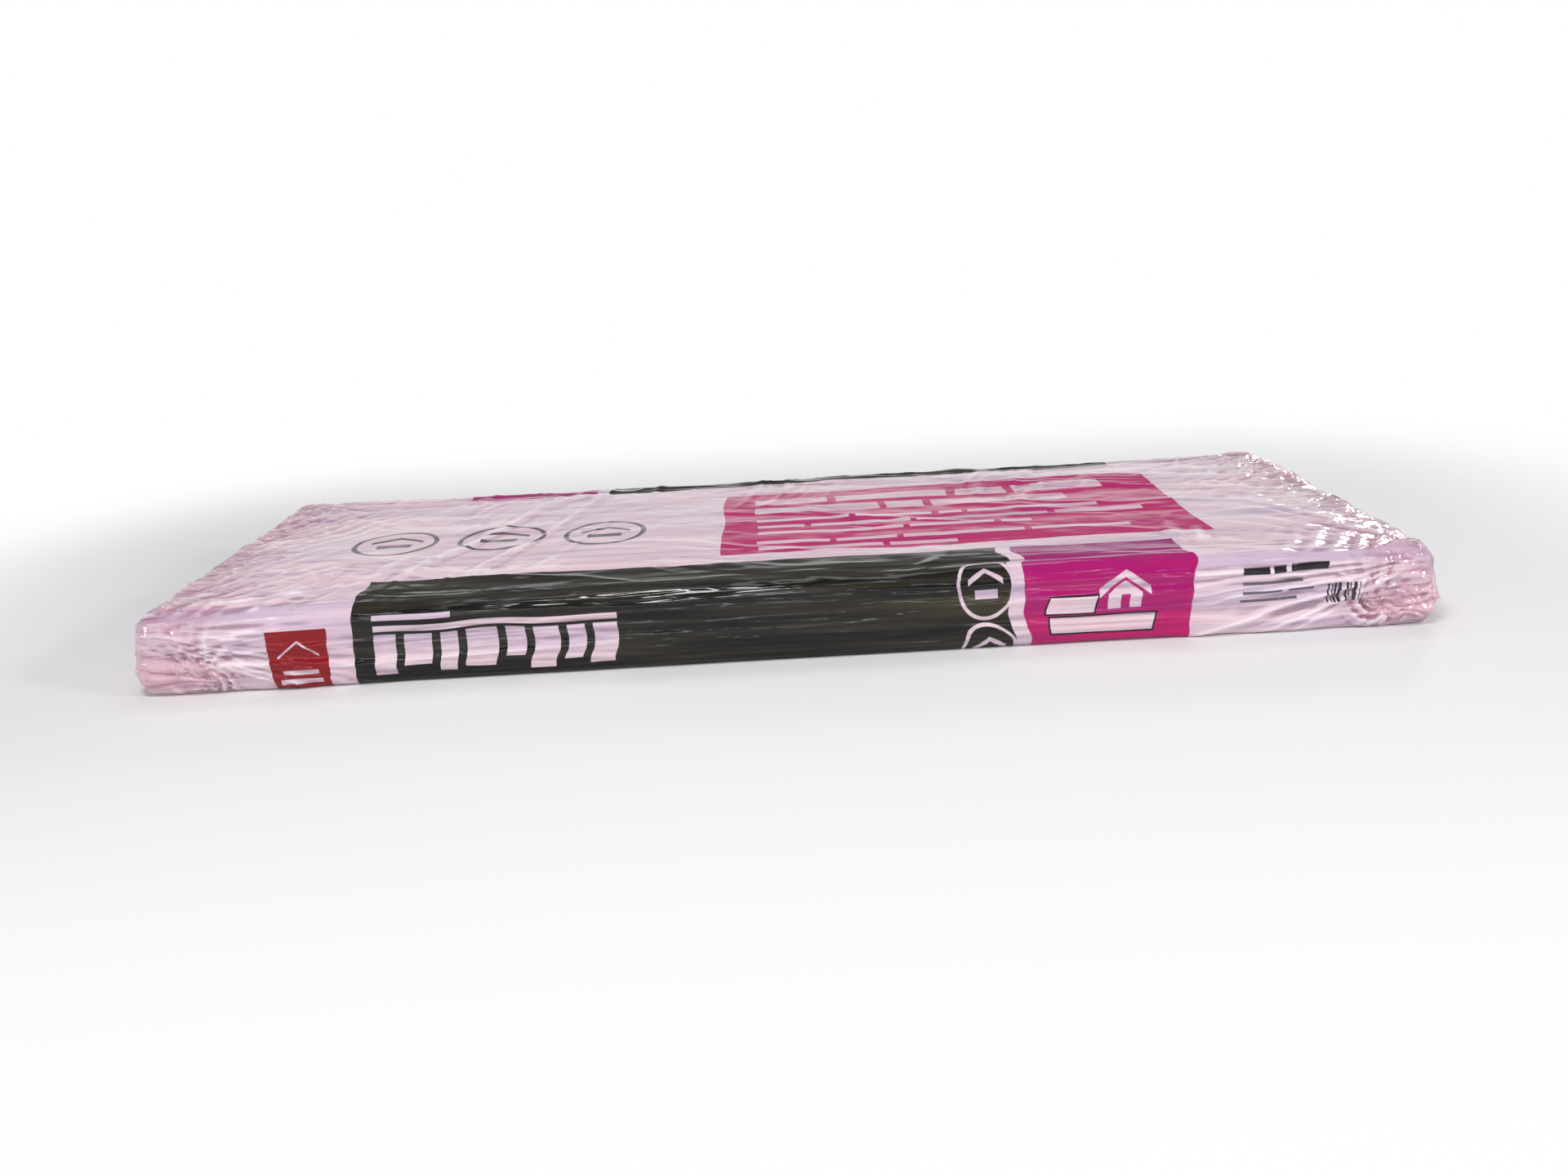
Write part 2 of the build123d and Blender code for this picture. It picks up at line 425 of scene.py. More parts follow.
def film_form(name):
    """One side of the wrapper: its points, quads, smooth base and the value that paints shade and
    highlights on its folds.
    """
    index, quads = box_side(name)
    box_points = np.stack([GRID_X[index[:, 0]], GRID_Y[index[:, 1]], GRID_Z[index[:, 2]]], axis=1)
    points, base, relief = shape_film(box_points)
    return points, quads, base, FOLD_HEIGHT * relief + STAND_OUT * stand_out(relief, index)


def clearance(points):
    """How far points are from the stack; 0 inside it."""
    reach = np.array([stack_half, side_half, stack_high[2]])
    off = np.maximum(np.abs(points) - reach, 0)
    return np.linalg.norm(off, axis=1)


FARTHEST_MOVE = 12.0  # clears the stack from anywhere on the film
HALVINGS = 12  # bring a move to a few thousandths of a millimetre


def keep_clear(points, out):
    """Move points straight out until they are clear of the stack, so that the film lies on it."""
    short = (clearance(points) < FILM_GAP) & (points[:, 2] > stack_low[2])
    start, way = points[short], out[short]
    near, far = np.zeros(len(start)), np.full(len(start), FARTHEST_MOVE)
    for _ in range(HALVINGS):
        middle = (near + far) / 2
        clear = clearance(start + way * middle[:, None]) >= FILM_GAP
        near, far = np.where(clear, near, middle), np.where(clear, middle, far)
    points[short] = start + way * far[:, None]


def make_mesh(name, points, quads, material, values=(), normals=None):
    """A mesh object from points in millimetres, with smooth shading and named point values."""
    mesh = bpy.data.meshes.new(name)
    mesh.from_pydata((points * MM).tolist(), [], quads.tolist())
    mesh.shade_smooth()
    for label, data in values:
        attribute = mesh.attributes.new(label, "FLOAT_VECTOR", "POINT")
        attribute.data.foreach_set("vector", np.ascontiguousarray(data, dtype=np.float32).ravel())
    if normals is not None:
        mesh.normals_split_custom_set_from_vertices(normals.tolist())
    mesh.materials.append(material)
    piece = bpy.data.objects.new(name, mesh)
    bpy.context.scene.collection.objects.link(piece)
    return piece


def wrapped(depth, y, radius, sign):
    """Height of a point along the film from the underside, by its way round a long edge.

    Depth is measured from the top (sign -1) or from the underside (sign 1).
    """
    out, rise = np.clip(np.abs(y) - face_half + radius, 0, None), np.clip(radius - depth, 0, None)
    inward = np.clip(face_half - radius - np.abs(y), 0, None)
    height = np.maximum(depth, radius) - radius * np.arctan2(rise, out) - inward
    return height if sign > 0 else top_z - height


def print_places(x, y, z, name):
    """Each point's place on the side print and on the top print, which shrinking pulled askew."""
    around = z + y
    pull_u = 4.0 * noise(x / 170, around / 21, seed=600) + 0.8 * noise(x / 60, around / 8, seed=601)
    pull_v = 1.5 * noise(x / 46, around / 34, seed=602)
    along = x + stack_half
    back = y > 0 if name in ("top", "base", "left", "right") else name == "back"
    side_u = np.where(back, 2 * stack_half - along, along) + pull_u
    upper, lower = wrapped(top_z - z, y, SHOULDER, -1), wrapped(z, y, FOOT, 1)
    side_v = np.where(z > middle_z, upper, lower) + pull_v
    top_u = along + 3.2 * noise(x / 70, y / 60, seed=603) + 1.6 * noise(x / 22, y / 30, seed=604)
    top_v = y + face_half + 2.6 * noise(x / 60, y / 45, seed=605)
    end = ease(np.abs(x), end_half - 5, end_half + 1)
    side = np.stack([side_u, side_v, end], axis=1)
    top = np.stack([top_u, top_v, z], axis=1)
    return side, top


def film_state(base, relief):
    """Each point's height in the folds, which paints their shade and highlights, its share of a
    knot, and how near it is to an end.
    """
    x, y, z = base.T
    height = np.clip(relief / 8 + 0.5, 0, 1)
    knot = np.where(y < 0, knot_share(x, z, "front"), knot_share(x, z, "back"))
    knot *= ease(np.abs(y), face_half - 14, face_half - 3)
    reach = np.abs(x) + 14 * noise(x / 20, y / 20, z / 20, seed=610)
    near_end = ease(reach, stack_half - 82, stack_half - 8)
    return np.stack([height, knot, near_end], axis=1)


WORDS = ("side_print", "top_print", "film_state")


def build_film(material):
    """The wrapper in six sides that share their edges and their shading."""
    names = ("front", "back", "left", "right", "base", "top")
    forms = {name: film_form(name) for name in names}
    keys = np.concatenate([box_side(name)[0] for name in names])
    _, shared = np.unique(keys, axis=0, return_inverse=True)
    shared = shared.ravel()
    totals = np.zeros((shared.max() + 1, 3))
    start = 0
    for name in names:
        points, quads = forms[name][:2]
        across = points[quads[:, 2]] - points[quads[:, 0]]
        along = points[quads[:, 3]] - points[quads[:, 1]]
        facing = np.cross(across, along)
        for corner in range(4):
            np.add.at(totals, shared[start + quads[:, corner]], facing)
        start += len(points)
    totals /= np.linalg.norm(totals, axis=1)[:, None]
    made = []
    start = 0
    for name in names:
        points, quads, base, relief = forms[name]
        normals = totals[shared[start : start + len(points)]]
        values = list(zip(WORDS, (*print_places(*base.T, name), film_state(base, relief))))
        made.append(make_mesh(f"film_{name}", points, quads, material, values, normals))
        start += len(points)
    return made


# Loose parts of the wrapper that lie on it: the closed ends' fins, the ears and the back seam


def thin_sheet(name, grid, values, material, thickness):
    """A closed thin sheet on a grid of points, thinnest at its border."""
    rows, columns = grid.shape[:2]
    normal = np.cross(np.gradient(grid, axis=0), np.gradient(grid, axis=1))
    normal /= np.maximum(np.linalg.norm(normal, axis=2), 1e-9)[..., None]
    thick = np.full((rows, columns, 1), thickness / 2)
    thick[[0, -1]] *= 0.3
    thick[:, [0, -1]] *= 0.3
    offset = normal * thick
    points = np.concatenate([(grid + offset).reshape(-1, 3), (grid - offset).reshape(-1, 3)])
    ids = np.arange(rows * columns).reshape(rows, columns)
    upper = grid_quads(ids)
    rim = np.concatenate([ids[:-1, 0], ids[-1, :-1], ids[:0:-1, -1], ids[0, :0:-1]])
    after = np.roll(rim, -1)
    below = rows * columns
    side = np.stack([after, rim, rim + below, after + below], axis=1)
    quads = np.concatenate([upper, upper[:, ::-1] + below, side])
    doubled = [(word, np.concatenate([data, data])) for word, data in values]
    points[:, 2] = np.maximum(points[:, 2], 0.0)
    return make_mesh(name, points, quads, material, doubled)


def bare_values(grid, knot, fold=0.5, bare=1.0):
    """Point values for unprinted film, which lies left of the print's first sign."""
    flat = grid.reshape(-1, 3)
    off = np.zeros(len(flat))
    side = np.stack([off - 40, off + top_z / 2, off + bare], axis=1)
    top = np.stack([off, off, flat[:, 2]], axis=1)
    return list(zip(WORDS, (side, top, np.stack([off + fold, off + knot, off + 1], axis=1))))


def build_fin(name, end, material):
    """The crimped fin along one closed end."""
    y = np.linspace(-face_half + 2, face_half - 2, 420)
    t = np.linspace(0, 1, 8)
    seed = 700 + 20 * end
    height = SEAL_Z + 1.3 * noise(y / 24, seed=seed) + 0.7 * noise(y / 7, seed=seed + 1)
    box_points = np.stack([np.full_like(y, end * end_half), y, height], axis=1)
    root = shape_film(box_points, -0.6)[0]
    reach = 4.6 + 1.9 * noise(y / 15, seed=seed + 2) + 0.9 * noise(y / 4, seed=seed + 3)
    reach *= 0.45 + 0.55 * ease(face_half - np.abs(y), 2, 16)
    curl = 1.9 * noise(y / 6, seed=seed + 4) + 1.1 * noise(y / 2.6, seed=seed + 5) - 0.7
    grid = np.zeros((len(y), len(t), 3))
    for column, part in enumerate(t):
        grid[:, column] = root
        grid[:, column, 0] += end * reach * part
        grid[:, column, 2] += curl * part**1.5
    if end < 0:
        grid = grid[::-1]
    return thin_sheet(name, grid, bare_values(grid, 0.25), material, thickness=0.9)


def build_ear(name, side, end, material):
    """The gathered ear where a closed end folds back onto a long face."""
    knot = KNOTS[("front" if side < 0 else "back", end)]
    seed = 800 + 7 * side + 20 * end
    s, t = np.meshgrid(np.linspace(0, 1, 76), np.linspace(-1, 1, 46), indexing="ij")
    length = abs(end * end_half - knot[0]) + 12
    width = 6.5 + 11 * (1 - s) ** 0.8 + 3.2 * noise(s * 6, np.sign(t), seed=seed)
    width *= np.clip((1 - s) * 7, 0.12, 1) ** 0.5
    x = end * (end_half - 3 - length * s) + 2.6 * noise(t * 3, s * 5, seed=seed + 1)
    z = SEAL_Z + (knot[1] - SEAL_Z) * s + t * width + 2.5 * noise(s * 3.5, seed=seed + 2)
    rise = np.minimum(1, 5 * np.minimum(s + 0.03, 1 - s)) * np.sqrt(np.clip(1 - t**2, 0, 1))
    ridges = 0.3 * crumple(x / 30, z / 18, seed + 3)
    ridges += 1.4 * folds(t * 1.7 + 0.7 * noise(s * 3, t, seed=seed + 4)) * (1.1 - 0.6 * s)
    lift = -0.5 + rise * (2.1 + ridges)
    box_points = np.stack([x, np.full_like(x, side * face_half), np.clip(z, 3, top_z - 6)], axis=2)
    laid = shape_film(box_points.reshape(-1, 3), lift.ravel())[0]
    grid = laid.reshape(box_points.shape)
    # the ridges' value for the painted shade and highlights of the ear's folds
    fold = np.clip(0.5 + ridges / 7, 0, 1)
    if side * end > 0:
        grid, fold = grid[::-1], fold[::-1]
    values = bare_values(grid, 0.6, fold.ravel(), 0.3)
    return thin_sheet(name, grid, values, material, thickness=0.7)


def build_seam(name, material):
    """The lengthwise overlap of the film on the back face."""
    along = np.linspace(-stack_half + 70, stack_half - 70, 700)
    x, t = np.meshgrid(along, np.linspace(0, 1, 14), indexing="ij")
    upper = 40 + 1.6 * noise(x / 60, seed=900) + 0.6 * noise(x / 17, seed=901)
    lower = 15 + 1.4 * noise(x / 80, seed=902)
    z = lower + (upper - lower) * t
    taper = np.minimum(1, (stack_half - 66 - np.abs(x)) / 14)
    lift = (0.35 + 0.75 * t**3 + 0.35 * noise(x / 22, t * 2, seed=903)) * taper
    box_points = np.stack([x, np.full_like(x, face_half), z], axis=2)
    laid, base, relief = shape_film(box_points.reshape(-1, 3), lift.ravel())
    places = (*print_places(*base.T, "back"), film_state(base, relief))
    grid = laid.reshape(box_points.shape)
    columns = [data.reshape(x.shape + (3,))[::-1].reshape(-1, 3) for data in places]
    return thin_sheet(name, grid[::-1], list(zip(WORDS, columns)), material, thickness=0.5)


# Materials


class Graph:
    """Short words for the nodes of a material or a world."""

    def __init__(self, owner):
        owner.use_nodes = True
        self.owner = owner
        self.tree = owner.node_tree
        self.shader = self.tree.nodes.get("Principled BSDF")

    def link(self, source, target):
        self.tree.links.new(source, target)

    def put(self, socket, value):
        if isinstance(value, bpy.types.NodeSocket):
            self.link(value, socket)
        else:
            socket.default_value = value

    def math(self, operation, first, second=0.0, third=0.0, clamp=False):
        node = self.tree.nodes.new("ShaderNodeMath")
        node.operation = operation
        node.use_clamp = clamp
        for socket, value in zip(node.inputs, (first, second, third)):
            self.put(socket, value)
        return node.outputs[0]

    def mix(self, amount, first, second):
        node = self.tree.nodes.new("ShaderNodeMix")
        node.data_type = "RGBA"
        sockets = (node.inputs[0], node.inputs[6], node.inputs[7])
        for socket, value in zip(sockets, (amount, first, second)):
            self.put(socket, (*value, 1) if isinstance(value, tuple) and len(value) == 3 else value)
        return node.outputs[2]

    def split(self, vector):
        node = self.tree.nodes.new("ShaderNodeSeparateXYZ")
        self.link(vector, node.inputs[0])
        return node.outputs[0], node.outputs[1], node.outputs[2]

    def join(self, x, y, z=0.0):
        node = self.tree.nodes.new("ShaderNodeCombineXYZ")
        for socket, value in zip(node.inputs, (x, y, z)):
            self.put(socket, value)
        return node.outputs[0]

    def attribute(self, name):
        node = self.tree.nodes.new("ShaderNodeAttribute")
        node.attribute_name = name
        return node.outputs["Vector"]

    def place(self):
        return self.tree.nodes.new("ShaderNodeTexCoord").outputs["Object"]

    def vector(self, operation, *values):
        node = self.tree.nodes.new("ShaderNodeVectorMath")
        node.operation = operation
        for socket, value in zip(node.inputs, values):
            self.put(socket, value)
        return node.outputs

    def clouds(self, vector, scale, detail=3.0, roughness=0.5):
        node = self.tree.nodes.new("ShaderNodeTexNoise")
        self.link(vector, node.inputs["Vector"])
        for name, value in (("Scale", scale), ("Detail", detail), ("Roughness", roughness)):
            node.inputs[name].default_value = value
        return node.outputs

    def cloud(self, vector, scale, detail=3.0, roughness=0.5):
        return self.clouds(vector, scale, detail, roughness)["Fac"]

    def warped(self, vector, scale, amount):
        """Places moved about by noise."""
        shift = self.clouds(vector, scale, 1.0)["Color"]
        return self.vector("MULTIPLY_ADD", shift, (amount, amount, amount), vector)[0]

    def cells(self, vector, scale, feature="F1"):
        node = self.tree.nodes.new("ShaderNodeTexVoronoi")
        node.feature = feature
        self.link(vector, node.inputs["Vector"])
        node.inputs["Scale"].default_value = scale
        return node.outputs

    def crossed(self, vector, scale, width):
        """0 on thin lines that meet like the folds of crushed film, 1 between them."""
        distance = self.cells(vector, scale, "DISTANCE_TO_EDGE")["Distance"]
        return self.math("MULTIPLY", distance, 1 / width, clamp=True)

    def patches(self, vector, scale):
        """A different number from 0 to 1 for each patch between the lines of crossed."""
        return self.split(self.cells(vector, scale)["Color"])[0]

    def facets(self, vector, scale):
        """Height of flat facets that lean in different directions, as high as vector is long."""
        cells = self.cells(vector, scale)
        off = self.vector("SUBTRACT", vector, cells["Position"])[0]
        lean = self.vector("SUBTRACT", cells["Color"], (0.5, 0.5, 0.5))[0]
        return self.vector("DOT_PRODUCT", off, lean)["Value"]

    def stepped(self, value, low, high, first=0.0, last=1.0, kind="SMOOTHSTEP"):
        """From first to last, with an eased step, as the value goes from low to high."""
        node = self.tree.nodes.new("ShaderNodeMapRange")
        node.interpolation_type = kind
        for socket, part in zip(node.inputs, (value, low, high, first, last)):
            self.put(socket, part)
        return node.outputs[0]

    def open_ray(self):
        """1 for rays that the camera sees straight, reflected or through something clear."""
        path = self.tree.nodes.new("ShaderNodeLightPath").outputs
        seen = self.either(path["Is Camera Ray"], path["Is Glossy Ray"])
        return self.either(seen, path["Is Transmission Ray"])

    def bump(self, height, strength, distance, normal=None):
        node = self.tree.nodes.new("ShaderNodeBump")
        node.inputs["Strength"].default_value = strength
        node.inputs["Distance"].default_value = distance
        self.link(height, node.inputs["Height"])
        if normal is not None:
            self.link(normal, node.inputs["Normal"])
        return node.outputs[0]

    def within(self, value, low, high, soft=0.35):
        """1 between low and high, with edges that blend over soft."""
        middle, half = (low + high) / 2, (high - low) / 2
        off = self.math("ABSOLUTE", self.math("SUBTRACT", value, middle))
        inside = self.math("SUBTRACT", half, off)
        return self.ramp(inside, 1 / soft, 0.5)

    def box(self, u, v, low, high, soft=0.35):
        across, up = self.within(u, low[0], high[0], soft), self.within(v, low[1], high[1], soft)
        return self.both(across, up)

    def disc(self, u, v, centre, radius, soft=0.35):
        du, dv = self.math("SUBTRACT", u, centre[0]), self.math("SUBTRACT", v, centre[1])
        square = self.math("MULTIPLY_ADD", du, du, self.both(dv, dv))
        inside = self.math("SUBTRACT", radius, self.math("SQRT", square))
        return self.ramp(inside, 1 / soft, 0.5)

    def either(self, first, second):
        return self.math("MAXIMUM", first, second)

    def both(self, first, second):
        return self.math("MULTIPLY", first, second)

    def ramp(self, value, slope, start):
        """The value times slope plus start, held from 0 to 1."""
        return self.math("MULTIPLY_ADD", value, slope, start, clamp=True)

    def without(self, first, second):
        return self.both(first, self.math("SUBTRACT", 1.0, second))


def srgb(red, green, blue):
    """A colour as 0 to 255 values, made linear."""
    parts = (red / 255, green / 255, blue / 255)
    return tuple(((c + 0.055) / 1.055) ** 2.4 if c > 0.04045 else c / 12.92 for c in parts)


WHITE_INK = srgb(216, 195, 204)
# lavender: painted sky reflection on the white film
SKY_SHEEN_WHITE = srgb(186, 167, 189)
WARM_WHITE = srgb(221, 183, 193)
BLACK_INK = srgb(17, 17, 17)
# olive streaks in the black: painted reflection
OLIVE_SHEEN = srgb(60, 54, 41)
# purple: painted sky reflection on the magenta ink
MAGENTA_INK = srgb(178, 24, 98)
SKY_SHEEN_PURPLE = srgb(140, 20, 104)
RED_INK = srgb(134, 19, 27)
PINK_FILM = srgb(223, 158, 176)
# deeper pink: painted shade in creases near the ends and knots
CREASE_SHADE_PINK = srgb(190, 100, 133)
GREY_FILM = srgb(170, 153, 160)
SHADED_FILM = srgb(166, 124, 143)
# painted shade in fold valleys, painted highlights on fold crests
VALLEY_SHADE_FILM = srgb(146, 118, 138)
CREST_HIGHLIGHT_FILM = srgb(236, 223, 230)
GREY_INK = srgb(92, 84, 92)
TEXT_INK = srgb(38, 34, 40)

CRUSH_SCALE = 75.0  # crushed facets to a metre
TALL = 1.2  # how much taller than wide the print's round signs are
# A course of laminated shingle as a plain sign: the width and the lower end of each tab
TABS = ((17, 8), (21, 15), (13, 8), (24, 12), (15, 19), (20, 8), (14, 14), (19, 8))
TAB_GAP = 6.5
TAB_TOP = 49.0
BAND_HIGH = 5.0
BAND_LINE = 2.5


def course_sign(g, u, v, left):
    """A thin band with tabs of several widths and lengths under it, set apart by a thin line."""
    total = sum(width for width, _ in TABS) + TAB_GAP * (len(TABS) - 1)
    mask = g.box(u, v, (left, TAB_TOP - BAND_HIGH), (left + total, TAB_TOP))
    start, high = left, TAB_TOP - BAND_HIGH - BAND_LINE
    for width, low in TABS:
        mask = g.either(mask, g.box(u, v, (start, low), (start + width, high)))
        start += width + TAB_GAP
    return mask


def roof(g, u, v, middle, slope, half, low, high):
    """A band that falls away on both sides of its middle."""
    off = g.math("ABSOLUTE", g.math("SUBTRACT", u, middle))
    level = g.math("MULTIPLY_ADD", off, slope, v)
    return g.both(g.within(level, low, high), g.within(u, middle - half, middle + half))


def ring_sign(g, u, v, centre, radius):
    """A plain ring and, inside it, a low roof over a bar."""
    middle, level = centre
    ring = g.without(g.disc(u, v, centre, radius), g.disc(u, v, centre, radius * 0.88))
    top = roof(g, u, v, middle, 0.55, radius * 0.6, level + radius * 0.36, level + radius * 0.52)
    left, right = middle - radius * 0.4, middle + radius * 0.4
    bar = g.box(u, v, (left, level - radius * 0.34), (right, level - radius * 0.1))
    return g.either(ring, g.either(top, bar))


def bars(g, u, v, rows, thickness):
    """Blank lines: each row is its start, end and height."""
    mask = 0.0
    for start, end, height in rows:
        mask = g.either(mask, g.box(u, v, (start, height), (end, height + thickness), soft=0.6))
    return mask


def red_sign(g, u, v):
    """A thin roof line over two blank lines."""
    lines = bars(g, u, v, ((104.0, 132.0, 12.5), (101.0, 135.0, 4.5)), 4.0)
    return g.either(roof(g, u, v, 118.0, 0.8, 16.0, 40.5, 42.5), lines)


def house_sign(g, u, v):
    """A small plain house with a door, under a roof that stands clear of it."""
    middle, slope = 767.0, 0.75
    top = roof(g, u, v, middle, slope, 20.0, 54.0, 60.5)
    walls = g.both(roof(g, u, v, middle, slope, 13.0, 20.0, 51.0), g.within(v, 29.0, 60.0))
    door = g.box(u, v, (764.0, 28.0), (771.0, 40.0))
    return g.either(top, g.without(walls, door))


def blank_plates(g, u, v):
    """Two slanted plates, one on the other: their dark edge and what it encloses."""
    lean = g.math("MULTIPLY_ADD", v, -0.22, u)
    edge = g.box(lean, v, (698.5, 26.0), (738.5, 42.5))
    edge = g.either(edge, g.box(lean, v, (701.5, 8.5), (788.5, 25.0)))
    plates = g.box(lean, v, (700.0, 27.5), (737.0, 41.0))
    return edge, g.either(plates, g.box(lean, v, (703.0, 10.0), (787.0, 23.5)))


def stripes(g, u, v, low, high):
    """Upright stripes of uneven width that stand for no number."""
    code = g.tree.nodes.new("ShaderNodeTexWhiteNoise")
    code.noise_dimensions = "1D"
    g.link(g.math("FLOOR", g.both(u, 1.1)), code.inputs["W"])
    dark = g.math("GREATER_THAN", code.outputs["Value"], 0.45)
    return g.both(dark, g.box(u, v, low, high))


def side_print(g, u, v, ground, sheen_streak):
    """The print along a long face, over the ground colour."""
    # painted reflection streaks in the black ink
    black = g.mix(sheen_streak, BLACK_INK, OLIVE_SHEEN)
    # the magenta turns purple higher up and in streaks: painted sky reflection
    magenta = g.mix(g.ramp(v, 0.018, -0.72), MAGENTA_INK, SKY_SHEEN_PURPLE)
    magenta = g.mix(g.both(sheen_streak, 0.7), magenta, SKY_SHEEN_PURPLE)
    colour = g.mix(g.within(u, *BLACK), ground, black)
    colour = g.mix(g.within(u, *MAGENTA), colour, magenta)
    rings, fills = 0.0, 0.0
    flat_v = g.both(v, 1 / TALL)  # the film is drawn out round the bundle
    for centre, radius in ROUND_SIGNS:
        fills = g.either(fills, g.disc(u, flat_v, centre, radius))
        rings = g.either(rings, ring_sign(g, u, flat_v, centre, radius))
    colour = g.mix(fills, colour, black)
    colour = g.mix(rings, colour, ground)
    colour = g.mix(g.box(u, v, *RED_PATCH), colour, RED_INK)
    colour = g.mix(red_sign(g, u, v), colour, ground)
    mark = g.either(course_sign(g, u, v, 177.0), g.box(u, v, (177.0, 53.5), (238.0, 57.5)))
    colour = g.mix(mark, colour, ground)
    edge, plates = blank_plates(g, u, v)
    colour = g.mix(edge, colour, BLACK_INK)
    colour = g.mix(g.either(plates, house_sign(g, u, v)), colour, ground)
    title = bars(g, u, v, ((858, 879, 51.0), (882, 892, 51.0), (896, 926, 51.0)), 5.0)
    colour = g.mix(title, colour, TEXT_INK)
    small = ((858, 905, 43.0), (858, 889, 36.0), (894, 914, 36.0), (857, 902, 29.0))
    colour = g.mix(bars(g, u, v, small, 2.2), colour, GREY_INK)
    return g.mix(stripes(g, u, v, (925.0, 24.0), (950.0, 40.0)), colour, TEXT_INK)


def top_print(g, u, v, ground, sheen_streak):
    """The print on the top: a magenta panel with blank lines, and rings beside it."""
    # purple streaks in the top panel: painted sky reflection
    magenta = g.mix(g.both(sheen_streak, 0.5), MAGENTA_INK, SKY_SHEEN_PURPLE)
    colour = g.mix(g.box(u, v, (TOP_PANEL[0], 78.0), (TOP_PANEL[1], 280.0)), ground, magenta)
    title = ((478, 545, 236.0), (553, 664, 236.0), (672, 716, 236.0), (724, 812, 236.0))
    title += ((478, 592, 202.0), (600, 638, 202.0), (646, 770, 202.0))
    lines = bars(g, u, v, title, 22.0)
    small = ((478, 560, 172.0), (566, 640, 172.0), (646, 668, 172.0), (674, 790, 172.0))
    small += ((478, 520, 152.0), (526, 618, 152.0), (624, 742, 152.0), (748, 826, 152.0))
    small += ((478, 610, 132.0), (616, 690, 132.0), (696, 724, 132.0))
    small += ((478, 540, 104.0), (546, 600, 104.0), (606, 712, 104.0), (718, 800, 104.0))
    small += ((478, 586, 86.0), (592, 650, 86.0))
    lines = g.either(lines, bars(g, u, v, small, 8.0))
    colour = g.mix(g.both(lines, 0.85), colour, ground)
    rings = 0.0
    for centre in (150.0, 245.0, 340.0):
        rings = g.either(rings, ring_sign(g, u, v, (centre, 172.0), 38.0))
    return g.mix(rings, colour, GREY_INK)


def film_ground(g, place, drawn, v, fold):
    """Unprinted film: warmer areas at random, lavender streaks and a band round the shoulder in
    painted sky reflection, painted shade in its folds' valleys and painted highlights on their
    crests.
    """
    warm = g.ramp(g.cloud(place, 11.0, 2.0), 2.4, -0.8)
    ground = g.mix(g.both(warm, 0.55), WHITE_INK, WARM_WHITE)
    # painted sky reflection: a lavender band round the shoulder and lavender streaks along the film
    bend = g.both(g.within(v, 46.0, 78.0, 22.0), 0.55)
    sky_sheen = g.math("MULTIPLY_ADD", g.cloud(drawn, 84.0, 3.0), 5.0, -2.3)
    sky_sheen = g.math("ADD", sky_sheen, bend, clamp=True)
    ground = g.mix(g.both(sky_sheen, 0.9), ground, SKY_SHEEN_WHITE)
    # painted shade in the folds' valleys and painted highlights on their crests
    valley_shade = g.ramp(fold, -4.0, 1.9)
    ground = g.mix(g.both(valley_shade, 0.75), ground, VALLEY_SHADE_FILM)
    crest_highlight = g.ramp(fold, 4.0, -2.7)
    return g.mix(g.both(crest_highlight, 0.75), ground, CREST_HIGHLIGHT_FILM)


def film_sheen_streaks(g, drawn):
    """Fine and broad streaks of painted reflection along the film, for the dark inks."""
    fine = g.ramp(g.cloud(drawn, 150.0, 4.0, 0.6), 3.4, -1.45)
    broad = g.ramp(g.cloud(drawn, 52.0, 2.0), 5.0, -2.7)
    return g.either(g.both(fine, 0.8), broad)


def film_bump(g, drawn, facing, height, near_end):
    """Fine streaks, crease lines on the long faces, and tilted facets at the crushed ends."""
    fine = g.bump(g.cloud(drawn, 420.0, 3.0), 0.12, 0.0006)
    lines = g.crossed(g.warped(drawn, 30.0, 0.006), 105.0, 0.3)
    on_side = g.ramp(height, -0.12, top_z * 0.12 + 0.1)
    lined = g.bump(g.both(lines, on_side), 0.35, 0.0009, fine)
    leaning = g.both(g.facets(facing, CRUSH_SCALE), g.crossed(facing, CRUSH_SCALE, 0.25))
    return g.bump(g.both(leaning, near_end), 0.8, 1.1, lined)


